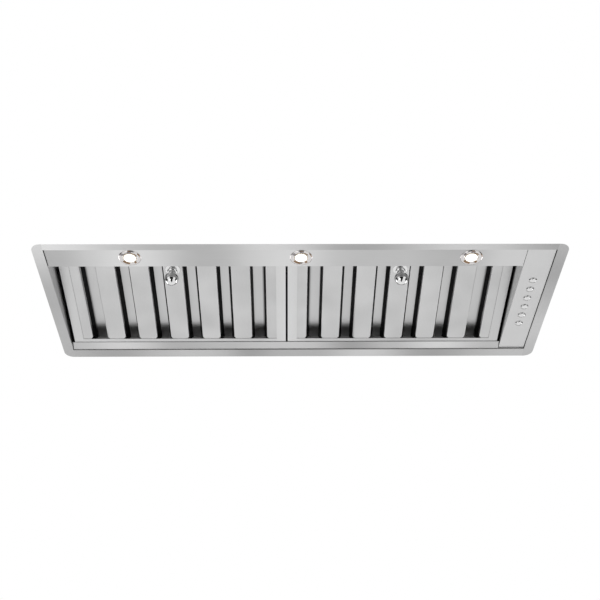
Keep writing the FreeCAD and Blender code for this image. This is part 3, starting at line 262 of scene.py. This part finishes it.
FINISH = {
    # Each sheet leans its own way, so each has its own painted reflection bands, light and dark,
    # standing in for what it mirrors; their places are given.  The left side panel is painted
    # light at its front end.
    "side_left": brushed_stainless("stainless_left_side_panel", "Y", "bebebe",
                                   [(-0.22, 0.16, 0.42), (0.0, 0.1, -0.06)], along="Y"),
    # The right side panel's painted reflection goes from a dark patch at the front to a light
    # one at the rear.
    "side_right": brushed_stainless("stainless_right_side_panel", "Y", "c0c0c0",
                                    [(-0.12, 0.13, -0.18), (0.1, 0.15, 0.16)], along="Y"),
    # The front panel's flange has painted reflection bands: light at its left end and in the
    # middle, and dark at its right end.
    "front": brushed_stainless("stainless_front_panel", "X", "c4c4c4",
                               [(-0.55, 0.24, 0.46), (-0.24, 0.14, -0.08), (-0.06, 0.15, 0.32),
                                (0.13, 0.14, -0.2), (0.36, 0.16, 0.24), (0.6, 0.16, -0.24)]),
    # The lit strip has painted light: lighter round its left and middle lights and near its
    # right end.
    "strip": brushed_stainless("stainless_light_strip", "X", "c6c6c6",
                               [(-0.57, 0.1, -0.12), (-0.38, 0.16, 0.36), (-0.22, 0.1, -0.1),
                                (-0.03, 0.16, 0.32), (0.34, 0.12, -0.1), (0.47, 0.12, 0.2)]),
    # The rear panel's flange lies furthest from the light, so it is painted a little darker as
    # shade, and it has painted reflection bands too.
    "rear": brushed_stainless("stainless_rear_panel", "X", "bcbcbc",
                              [(-0.47, 0.12, -0.14), (-0.27, 0.16, 0.18), (-0.12, 0.08, -0.2),
                               (0.17, 0.13, 0.3), (0.33, 0.12, -0.18), (0.55, 0.16, 0.14)]),
    # The rear strip slopes, and its painted reflection bands are strong and short.
    "ledge": brushed_stainless("stainless_rear_strip", "X", "c6c6c6",
                               [(-0.44, 0.13, 0.26), (-0.29, 0.12, -0.1), (-0.03, 0.16, 0.16),
                                (0.13, 0.1, -0.25), (0.35, 0.13, 0.3)]),
    # The control panel is flat and evenly pale.
    "panel": brushed_stainless("stainless_control_panel", "Y", "d3d3d3"),
    # Mill finish on the control panel's side wall: dull grey, with painted shade that darkens it
    # up beside the filter.
    "wall": plain("stainless_mill_finish", "f0f0f0", metallic=0.3, roughness=0.5,
                  painted_shade_heights=(24, 38)),
    # The filter frames have painted reflection bands and are a little lighter where the two of
    # them meet.
    "frame": brushed_stainless("stainless_filter_frames", "Y", "cccccc",
                               [(-0.5, 0.3, 0.08), (-0.033, 0.07, 0.2), (0.25, 0.2, -0.12)]),
    # Mill finish inside the body, dull and even, with no brushing.
    "inside": plain("stainless_mill_finish_inside", "b8b8b8", metallic=0.3, roughness=0.45),
    # Painted light: the frames' rear webs get a pale, dull copy of the mill finish, so they show
    # as a pale strip at the end of each gap.
    "web": plain("stainless_rear_web_painted_light", "f0f0f0", metallic=0.2, roughness=0.5),
    # The lower vanes are brushed lengthways and cloudier than the panels.
    "vane": brushed_stainless("stainless_vanes", "Y", "cdcdcd", mottle=0.07),
    "upper_left": upper_vanes("left"),
    "upper_right": upper_vanes("right"),
    # Painted shade between the sheets, where hardly any light comes: the mill finish is drawn
    # almost black.
    "shade": plain("stainless_painted_shade_and_dark_reflection", "3a3a3b", metallic=1.0, roughness=0.5),
    # Hot-dip galvanised sheet: dull silver with spangles about 11 mm across.
    "zinc": plain("galvanised_sheet", "a9adb0", metallic=1.0, roughness=0.42, grain=11,
                  uneven=0.12, relief=0, cells=True),
    # Painted shade: the same sheet on its underside, inside the body, drawn duller and darker.
    "zinc_painted_shade": plain("galvanised_sheet_underside_painted_shade", "93979a", metallic=0.4, roughness=0.5,
                       grain=11, uneven=0.12, relief=0, cells=True),
    # Polished chrome plate on the knobs: a sharp mirror, black and white.
    "chrome": plain("chrome_polished", "e6e6e6", metallic=1.0, roughness=0.06, grain=4,
                    uneven=0.01, relief=0),
    # Chrome plate on the pressed light trims: a mirror a little softer than the knobs.
    "plated": plain("chrome_plated_trim", "dcd9d8", metallic=1.0, roughness=0.16, grain=4,
                    uneven=0.02, relief=0),
    # Turned stainless bezels: pale, dull rings round the buttons.
    "bezel": plain("stainless_bezels", "e8e8e8", metallic=0.5, roughness=0.4, grain=1,
                   uneven=0.02, relief=0),
    # Satin chrome on the button caps: one soft bright spot on each dome.
    "satin": plain("chrome_satin", "e2e2e2", metallic=1.0, roughness=0.2, grain=1, uneven=0.02,
                   relief=0),
    # Painted reflection on the light trim's bevel, for something warm that it mirrors: patches
    # of brown.
    "brown": plain("chrome_bevel_painted_warm_reflection", "9a7d62", metallic=0.6, roughness=0.35, grain=6,
                   uneven=0.25, relief=0),
    # Painted reflection on the same bevel, for something dark that it mirrors: patches of grey.
    "grey": plain("chrome_bevel_painted_dark_reflection", "9a9496", metallic=0.6, roughness=0.35, grain=6,
                  uneven=0.25, relief=0),
    "lens": lit_lens(),
    # The frosted lens's rim, past the lamp's beam: a dim warm ring.
    "lens_rim": plain("frosted_lens_rim", "d9c7ac", metallic=0.0, roughness=0.5),
    # Die-cast aluminium heat sinks: matt grey with a sandy skin.
    "cast": plain("aluminium_cast", "8d8f92", metallic=1.0, roughness=0.5, grain=1.2,
                  uneven=0.08, relief=0.08),
    # Spring steel and plated screws: smooth, with a soft sheen.
    "spring": plain("spring_steel", "b9bbbd", metallic=1.0, roughness=0.25),
    # Baked enamel on the motor: black, with a slight orange peel.
    "motor": plain("motor_paint", "232426", metallic=0.0, roughness=0.42, grain=2.0,
                   uneven=0.06, relief=0.06),
    # Solder lacquer on the circuit board: glossy green over uneven copper.
    "board": plain("board_lacquer", "1c5a34", metallic=0.0, roughness=0.3, grain=0.8,
                   uneven=0.12, relief=0.01),
    # Moulded nylon: near black and satin, with a fine eroded texture.
    "black": plain("nylon_black", "1b1b1c", metallic=0.0, roughness=0.5, grain=0.7, uneven=0.1,
                   relief=0.04),
    # Moulded ABS: off-white and satin, with the same fine texture.
    "white": plain("abs_white", "e8e8e4", metallic=0.0, roughness=0.4, grain=0.7, uneven=0.02,
                   relief=0.03),
}
BY_SLOT = {
    "galvanised": "zinc", "chrome": "chrome", "lens": "lens", "heat_sink": "cast",
    "spring_steel": "spring", "motor_paint": "motor", "board_green": "board",
    "black_plastic": "black", "white_plastic": "white",
}
BY_NODE = {
    "left_side_panel": "side_left", "right_side_panel": "side_right", "front_panel": "front",
    "rear_panel": "rear", "light_box": "strip", "rear_strip": "ledge", "control_panel": "panel",
    "left_filter_frame": "frame", "right_filter_frame": "frame",
}


# ---------------------------------------------------------------- finishes on the CAD pieces

# Material slots of a dressed sheet piece, after its own finish.
SHADE, WEB, WALL, INSIDE = 1, 2, 3, 4
# The top panel's own second slot.
UNDERSIDE = 1
# The frames' lower flanges lie below FRAME_LIP, the panels' dull inner faces above PANEL_INSIDE,
# and the filters' rear webs behind REAR_WEB.
FRAME_LIP = 50 * MM
PANEL_INSIDE = 60 * MM
REAR_WEB = 120 * MM
# What counts as facing a direction, as the cosine of the angle to it.
NEARLY = 0.9
MOSTLY = 0.8
ROUGHLY = 0.5


def dress(node, *finishes):
    """Give a CAD piece its finishes as material slots, with the first on every face."""
    mesh = NODES[node].data
    mesh.materials.clear()
    for finish in finishes:
        mesh.materials.append(FINISH[finish])
    for face in mesh.polygons:
        face.material_index = 0


def finish_faces(node, slot, chosen):
    """Put a material slot on the faces of a CAD piece that the test picks."""
    for face in NODES[node].data.polygons:
        if chosen(face):
            face.material_index = slot


def dress_filter(side):
    """Painted shade on the inner faces of a filter's upper vanes and frame, and painted light on
    its pale rear web.
    """
    vanes = side + "_filter_upper_vanes"
    dress(vanes, "upper_" + side, "shade")
    finish_faces(vanes, SHADE, lambda face: abs(face.normal.dot(UP)) < NEARLY)
    channel = side + "_filter_frame"
    centre = middle(channel)[0]

    def looks_inward(face):
        return (abs(face.normal.dot(UP)) < ROUGHLY
                and face.normal.dot(face.center - centre) < 0)

    def top_of_lip(face):
        return face.normal.dot(UP) > ROUGHLY and face.center.z < FRAME_LIP

    finish_faces(channel, SHADE, lambda face: looks_inward(face) or top_of_lip(face))
    finish_faces(channel, WEB, lambda face: face.normal.y < -MOSTLY and face.center.y > REAR_WEB)


def faces_into_body(face):
    """True for the inner side of a front, rear or side panel, above the flange."""
    # The body is about three times as wide as it is deep.
    inward = Vector((-face.center.x, -3 * face.center.y, 0))
    return face.center.z > PANEL_INSIDE and face.normal.dot(inward) > 0


for name, slot in SLOT.items():
    if slot != "stainless":
        dress(name, BY_SLOT[slot])
    elif name in BY_NODE:
        dress(name, BY_NODE[name], "shade", "web", "wall", "inside")
    else:
        dress(name, "vane", "shade")
for side in ("left", "right"):
    dress_filter(side)
finish_faces("control_panel", WALL, lambda face: abs(face.normal.x) > NEARLY)
# The top panel's underside gets the painted shade copy of its zinc.
dress("top_panel", "zinc", "zinc_painted_shade")
finish_faces("top_panel", UNDERSIDE, lambda face: face.normal.z < -ROUGHLY)
for name in ("front_panel", "rear_panel", "left_side_panel", "right_side_panel"):
    finish_faces(name, INSIDE, faces_into_body)


# ---------------------------------------------------------------- turned pieces

# A ring this small closes up into a pole when doubles are merged.
POLE = 0.01
MERGE = 0.03 * MM
# Edges sharper than this stay sharp.
SMOOTH_ANGLE = math.radians(35)
DOWNWARD = -0.05


def arc(centre, height, radius, first, last, steps):
    """Points of an arc in a profile, as radius and height pairs; angles in degrees."""
    points = []
    for i in range(steps + 1):
        turn = math.radians(first + (last - first) * i / steps)
        points.append((centre + radius * math.cos(turn), height + radius * math.sin(turn)))
    return points


def turned(name, profile, finishes, sides):
    """A piece turned about the vertical, drawn ring by ring from a profile of radius and height
    pairs in millimetres.  It runs from pole to pole, or comes back to where it began."""
    bpy.ops.object.select_all(action="DESELECT")
    radius, height = profile[0]
    bpy.ops.mesh.primitive_circle_add(vertices=sides, radius=radius * MM)
    piece = bpy.context.object
    piece.name = name
    bpy.ops.object.mode_set(mode="EDIT")
    bpy.ops.mesh.select_all(action="SELECT")
    bpy.ops.transform.translate(value=(0, 0, height * MM))
    for next_radius, next_height in profile[1:]:
        rise = (0, 0, (next_height - height) * MM)
        bpy.ops.mesh.extrude_edges_move(TRANSFORM_OT_translate={"value": rise})
        growth = next_radius / radius
        bpy.ops.transform.resize(value=(growth, growth, 1), center_override=(0, 0, 0))
        radius, height = next_radius, next_height
    bpy.ops.mesh.select_all(action="SELECT")
    bpy.ops.mesh.remove_doubles(threshold=MERGE)
    bpy.ops.mesh.normals_make_consistent(inside=False)
    bpy.ops.object.mode_set(mode="OBJECT")
    bpy.ops.object.shade_smooth_by_angle(angle=SMOOTH_ANGLE)
    for finish in finishes:
        piece.data.materials.append(FINISH[finish])
    return piece


def paint_arcs(piece, slot, low, high, arcs):
    """Put a material slot on the faces that show from below, between two radii in millimetres
    and within any of the arcs, given in degrees from +X towards the rear."""
    for face in piece.data.polygons:
        radius = math.hypot(face.center.x, face.center.y) / MM
        turn = math.degrees(math.atan2(face.center.y, face.center.x)) % 360
        if low < radius < high and face.normal.z < DOWNWARD:
            if any((turn - first) % 360 < (last - first) for first, last in arcs):
                face.material_index = slot


def seat(pattern, name, place, node, tilt=0.0):
    """A copy of a turned piece in its place, with its CAD node's body."""
    piece = bpy.data.objects.new(name, pattern.data.copy())
    bpy.context.scene.collection.objects.link(piece)
    turn = Matrix.Rotation(-tilt, 4, "X")
    piece.data.transform(Matrix.Translation(place) @ turn)
    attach(piece, BODY[node])
    return piece


def pull_knobs():
    """Foot plate, bead, neck and ball, turned in one piece."""
    foot = 16.5
    ball = 16
    ball_depth = 32
    profile = [(POLE, 0), (foot - 0.3, 0), (foot, -0.3), (foot, -1.2), (15.4, -1.9),
               (11.0, -2.6), (8.8, -3.6)]
    profile += arc(8.2, -7.7, 3.8, 85, -85, 10)
    profile += [(7.6, -12.8), (7.4, -14.6)]
    profile += arc(0, -ball_depth, ball, 60, -84, 22)
    profile += [(POLE, -ball_depth - ball)]
    pattern = turned("knob_pattern", profile, ("chrome",), 64)
    for side in ("left", "right"):
        node = side + "_filter_knob"
        centre, low, high = middle(node)
        ball_middle = Vector((centre.x, low.y + ball * MM, low.z + ball * MM))
        foot_middle = ball_middle + UP * ball_depth * MM
        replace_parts(seat(pattern, side + "_pull_knob", foot_middle, node, TILT), node)
    bpy.data.objects.remove(pattern)


def lights():
    """A trim with a rolled edge and a bevel down to the lens, and a lens with a dim rim."""
    trim_radius = 25
    bore = 15.5
    sleeve_in, sleeve_out, sleeve_top = 20.5, 21.6, 9
    trim = turned("trim_pattern", [
        (trim_radius, 0), (trim_radius, -0.5), (24.6, -1.1), (23.8, -1.8), (22.6, -2.3),
        (21.4, -2.5), (19.8, -2.4), (18.6, -2.0), (16.6, -1.2), (bore, -0.7), (bore, 2),
        (sleeve_in, 2), (sleeve_in, sleeve_top), (sleeve_out, sleeve_top), (sleeve_out, 0),
        (trim_radius, 0)], ("plated", "brown", "grey"), 72)
    brown, grey = 1, 2
    # Painted reflections: brown and grey patches on the bevel and rolled edge, for the warm and
    # dark things the trim mirrors.
    paint_arcs(trim, brown, 15, 20.5, [(95, 150), (38, 58), (285, 325)])
    paint_arcs(trim, grey, 15, 23.2, [(260, 286), (212, 232)])
    paint_arcs(trim, brown, 22, 24.2, [(266, 280), (322, 352)])
    lens_radius = bore - 0.1
    rim = 13.4
    lens = turned("lens_pattern", [
        (POLE, 2), (lens_radius, 2), (lens_radius, -0.7), (14.6, -1.0), (rim, -1.25),
        (9.5, -1.6), (5, -1.85), (POLE, -1.9)], ("lens", "lens_rim"), 72)
    dim = 1
    paint_arcs(lens, dim, rim, bore, [(0, 360)])
    for number in LIGHTS:
        node = "light_trim_%d" % number
        centre, low, high = middle(node)
        place = Vector((centre.x, centre.y, high.z - sleeve_top * MM))
        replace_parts(seat(trim, "trim_ring_%d" % number, place, node), node)
        node = "light_lens_%d" % number
        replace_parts(seat(lens, "lens_%d" % number, place, node), node)
    bpy.data.objects.remove(trim)
    bpy.data.objects.remove(lens)


def push_buttons():
    """A crowned cap that slides in a bezel with a bevelled rim.  The bezels are one piece."""
    crown = 2.4
    cap_radius = 7.7
    cap = turned("cap_pattern", [
        (POLE, -crown), (2.5, -2.38), (4.6, -2.2), (6.2, -1.8), (7.2, -1.2), (cap_radius, -0.5),
        (cap_radius, 2.6), (8.3, 2.6), (8.3, 3.6), (2, 3.6), (2, 6), (POLE, 6)],
        ("satin",), 40)
    bore = cap_radius + 0.1
    rim = 9.5
    bezel = turned("bezel_pattern", [
        (bore, -1.1), (8.0, -1.4), (8.5, -1.4), (9.1, -0.9), (rim, -0.1), (rim, 0), (8.4, 0),
        (8.4, 2.4), (bore, 2.4), (bore, -1.1)], ("bezel", "shade"), 48)
    dark = 1
    # Painted reflections: dark arcs on each bezel's rim, in the near-black finish, for the dark
    # room it mirrors.
    paint_arcs(bezel, dark, bore, rim + 0.1, [(198, 228), (263, 281), (316, 346)])
    bezels = []
    for number in BUTTONS:
        node = "button_%d" % number
        centre, low, high = middle(node)
        place = Vector((centre.x, centre.y, low.z + crown * MM))
        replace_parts(seat(cap, "button_cap_%d" % number, place, node), node)
        bezels.append(seat(bezel, "bezel_%d" % number, place, "button_bezels"))
    bpy.data.objects.remove(cap)
    bpy.data.objects.remove(bezel)
    bpy.ops.object.select_all(action="DESELECT")
    for piece in bezels:
        piece.select_set(True)
    bpy.context.view_layer.objects.active = bezels[0]
    bpy.ops.object.join()
    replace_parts(bezels[0], "button_bezels")


pull_knobs()
lights()
push_buttons()


# ---------------------------------------------------------------- bends of the lower vanes

BEND_RADIUS = 1.6 * MM
# A bend runs at least this far front to rear, which leaves the short end edges sharp.
BEND_LENGTH = 50 * MM
STRAIGHT_DOWN = -0.95
# The knob's screw hole lies within this distance of its screw's middle.
SCREW_HOLE = 5 * MM
WELD = 0.002 * MM


def lower_bend(first, second, along):
    """True for a long outer bend of a vane, between its underside and one of its legs."""
    down = min(first.dot(UP), second.dot(UP))
    across = max(abs(first.x), abs(second.x))
    return down < STRAIGHT_DOWN and across > NEARLY and abs(along.y) > BEND_LENGTH


def close_hole(piece, screw):
    """Delete the corners of the hole round a screw's middle and fill the sheet over it."""
    for corner in piece.data.vertices:
        corner.select = math.hypot(corner.co.x - screw.x, corner.co.y - screw.y) < SCREW_HOLE
    bpy.ops.object.mode_set(mode="EDIT")
    bpy.ops.mesh.delete(type="VERT")
    bpy.ops.mesh.select_all(action="SELECT")
    bpy.ops.mesh.fill_holes(sides=0)
    bpy.ops.mesh.normals_make_consistent(inside=False)
    bpy.ops.mesh.select_all(action="SELECT")
    bpy.ops.mesh.dissolve_limited(angle_limit=math.radians(1))
    bpy.ops.mesh.select_all(action="DESELECT")
    bpy.ops.object.mode_set(mode="OBJECT")


def select_bends(piece):
    """Select the edges of the long outer bends, by the directions of their two faces."""
    normals_at = {}
    for face in piece.data.polygons:
        for key in face.edge_keys:
            normals_at.setdefault(key, []).append(face.normal.copy())
    for edge in piece.data.edges:
        normals = normals_at.get(tuple(sorted(edge.vertices)), ())
        start, end = (piece.data.vertices[v].co for v in edge.vertices)
        edge.select = len(normals) == 2 and lower_bend(normals[0], normals[1], end - start)


def bent_vanes(side):
    """A copy of the lower vanes with rounded bends, and with the screw hole that the knob's foot
    covers closed."""
    node = side + "_filter_lower_vanes"
    bpy.ops.object.select_all(action="DESELECT")
    piece = bpy.data.objects.new(side + "_lower_vanes", NODES[node].data.copy())
    bpy.context.scene.collection.objects.link(piece)
    piece.select_set(True)
    bpy.context.view_layer.objects.active = piece
    bpy.ops.object.mode_set(mode="EDIT")
    bpy.ops.mesh.select_all(action="SELECT")
    bpy.ops.mesh.remove_doubles(threshold=WELD)
    bpy.ops.mesh.select_all(action="DESELECT")
    bpy.ops.object.mode_set(mode="OBJECT")
    close_hole(piece, middle(side + "_filter_knob_screw")[0])
    select_bends(piece)
    bpy.ops.object.mode_set(mode="EDIT")
    bpy.ops.mesh.select_mode(type="EDGE")
    bpy.ops.mesh.bevel(offset=BEND_RADIUS, segments=3, profile=0.5)
    bpy.ops.mesh.select_all(action="SELECT")
    bpy.ops.mesh.select_mode(type="VERT")
    bpy.ops.object.mode_set(mode="OBJECT")
    bpy.ops.object.shade_smooth_by_angle(angle=SMOOTH_ANGLE)
    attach(piece, BODY[node])
    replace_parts(piece, node)


for side in ("left", "right"):
    bent_vanes(side)


# ---------------------------------------------------------------- stage, light and camera

WHITE = (1, 1, 1, 1)


def seen_or_mirrored(tree):
    """1 for rays from the camera, from glossy metal and through glass, else 0."""
    path = add_node(tree, "ShaderNodeLightPath")
    seen = add_node(tree, "ShaderNodeMath", (), {0: path.outputs["Is Camera Ray"],
                                                 1: path.outputs["Is Glossy Ray"]},
                    operation="MAXIMUM")
    seen = add_node(tree, "ShaderNodeMath", (), {0: seen.outputs["Value"],
                                                 1: path.outputs["Is Transmission Ray"]},
                    operation="MAXIMUM")
    return seen.outputs["Value"]


def stage_floor(size, depth):
    """A plain pale floor, well below the hood."""
    bpy.ops.mesh.primitive_plane_add(size=size, location=(0, 0, -depth))
    floor = bpy.context.object
    floor.name = "floor"
    # Matt grey-white paint, which glows for camera and mirror so that it shows white.
    material, tree, shader = new_material("floor_paint")
    shader.inputs["Base Color"].default_value = linear("d8d8d8")
    shader.inputs["Roughness"].default_value = 0.9
    shader.inputs["Emission Color"].default_value = WHITE
    glow = add_node(tree, "ShaderNodeMath", {1: 0.5}, {0: seen_or_mirrored(tree)},
                    operation="MULTIPLY")
    tree.links.new(glow.outputs["Value"], shader.inputs["Emission Strength"])
    floor.data.materials.append(material)


def ceiling_board(height, opening, growth):
    """The plain white underside that the flange bears on, with an opening for the body.  It
    shows only from below, so that views from above show the whole insert."""
    bpy.ops.mesh.primitive_plane_add(size=1, location=(0, 0, height))
    board = bpy.context.object
    board.name = "ceiling_board"
    bpy.ops.object.mode_set(mode="EDIT")
    bpy.ops.mesh.select_all(action="SELECT")
    bpy.ops.transform.resize(value=(*opening, 1))
    bpy.ops.mesh.delete(type="ONLY_FACE")
    bpy.ops.mesh.select_all(action="SELECT")
    bpy.ops.mesh.extrude_edges_move()
    bpy.ops.transform.resize(value=(*growth, 1))
    bpy.ops.mesh.select_all(action="SELECT")
    bpy.ops.mesh.normals_make_consistent(inside=False)
    bpy.ops.object.mode_set(mode="OBJECT")
    if board.data.polygons[0].normal.z < 0:
        board.data.flip_normals()
    # White from below and clear from above, and nothing lights or mirrors it.
    material, tree, _ = new_material("board_paint")
    glow = add_node(tree, "ShaderNodeEmission", {"Strength": 1.0})
    clear = add_node(tree, "ShaderNodeBsdfTransparent")
    face = add_node(tree, "ShaderNodeNewGeometry")
    mix = add_node(tree, "ShaderNodeMixShader", (), {0: face.outputs["Backfacing"],
                                                     1: clear.outputs["BSDF"],
                                                     2: glow.outputs["Emission"]})
    tree.links.new(mix.outputs["Shader"], tree.nodes["Material Output"].inputs["Surface"])
    board.data.materials.append(material)
    board.visible_diffuse = False
    board.visible_glossy = False
    board.visible_shadow = False


def card(name, material, place, turn, width, height, far_width=None):
    """A card that only metal mirrors: black for dark surroundings, white for a bright opening.
    Its far edge may have a width of its own."""
    bpy.ops.mesh.primitive_plane_add(size=1)
    board = bpy.context.object
    board.name = name
    for corner in board.data.vertices:
        corner.co.x *= width if corner.co.y < 0 or far_width is None else far_width
        corner.co.y *= height
    board.location = place
    board.rotation_euler = [math.radians(angle) for angle in turn]
    board.data.materials.append(material)
    board.visible_camera = False
    board.visible_diffuse = False
    board.visible_shadow = False
    board.visible_transmission = False


def room_cards():
    """What the knobs and trims mirror: dark all round and below, and two bright openings to the
    rear."""
    white, tree, shader = new_material("card_white")
    shader.inputs["Emission Color"].default_value = WHITE
    shader.inputs["Emission Strength"].default_value = 3.0
    black = plain("card_black", "131313", metallic=0.0, roughness=1.0)
    card("card_ahead", black, place=(0, -2.2, -0.8), turn=(90, 0, 0), width=2.5, height=3.4)
    card("card_below", black, place=(0, -0.85, -2.45), turn=(0, 0, 0), width=2.3, height=2.7,
         far_width=0.1)
    card("card_left", black, place=(-2.2, 0, -0.4), turn=(90, 0, 90), width=1.5, height=1.6)
    card("card_right", black, place=(2.2, 0, -0.4), turn=(90, 0, 90), width=1.5, height=1.6)
    card("card_rear", black, place=(0, 3.1, 0.45), turn=(90, 0, 0), width=4.4, height=2.2)
    card("window_left", white, place=(-3.3, 2.5, -0.1), turn=(90, 0, 52), width=2.2, height=1.8)
    card("window_right", white, place=(3.3, 2.5, -0.1), turn=(90, 0, -52), width=2.2, height=1.8)


def soft_world(light, shown):
    """Even white surroundings; they light the object a little less than they show."""
    world = bpy.data.worlds.new("studio")
    bpy.context.scene.world = world
    world.use_nodes = True
    tree = world.node_tree
    back = tree.nodes["Background"]
    strength = add_node(tree, "ShaderNodeMapRange", {"To Min": light, "To Max": shown},
                        {"Value": seen_or_mirrored(tree)})
    tree.links.new(strength.outputs["Result"], back.inputs["Strength"])
    back.inputs["Color"].default_value = WHITE


def soft_lamp(name, place, target, width, height, power):
    """A rectangular softbox, its power in watts."""
    light = bpy.data.lights.new(name, "AREA")
    light.shape = "RECTANGLE"
    light.size = width
    light.size_y = height
    light.energy = power
    lamp = bpy.data.objects.new(name, light)
    lamp.location = place
    lamp.rotation_mode = "QUATERNION"
    lamp.rotation_quaternion = (Vector(target) - Vector(place)).to_track_quat("-Z", "Y")
    bpy.context.scene.collection.objects.link(lamp)


def photo_camera(place, pitch, yaw, roll, lens):
    """The photograph's view: from below and in front, turned and rolled a little.  Angles in
    degrees, the lens in millimetres on the default 36 mm sensor."""
    pitch, yaw, roll = (math.radians(angle) for angle in (pitch, yaw, roll))
    ahead = Vector((math.sin(yaw) * math.cos(pitch), math.cos(yaw) * math.cos(pitch),
                    math.sin(pitch)))
    right = ahead.cross(Vector((0, 0, 1))).normalized()
    down = ahead.cross(right)
    turned_right = right * math.cos(roll) + down * math.sin(roll)
    turned_down = down * math.cos(roll) - right * math.sin(roll)
    basis = Matrix((turned_right, -turned_down, -ahead)).transposed().to_4x4()
    data = bpy.data.cameras.new("camera")
    data.lens = lens
    camera = bpy.data.objects.new("camera", data)
    camera.matrix_world = Matrix.Translation(place) @ basis
    bpy.context.scene.collection.objects.link(camera)
    bpy.context.scene.camera = camera


stage_floor(size=30, depth=2.6)
ceiling_board(height=1.4 * MM, opening=(1.15, 0.395), growth=(4, 9))
room_cards()
soft_world(light=0.6, shown=1.0)
soft_lamp("key_softbox", place=(-1.2, -1.6, -1.9), target=(0, 0, 0), width=1.2, height=0.8,
          power=4)
photo_camera(place=(-0.0345, -1.7857, -1.3633), pitch=37.63, yaw=1.09, roll=0.78, lens=57.18)
bpy.context.scene.view_settings.view_transform = "Standard"
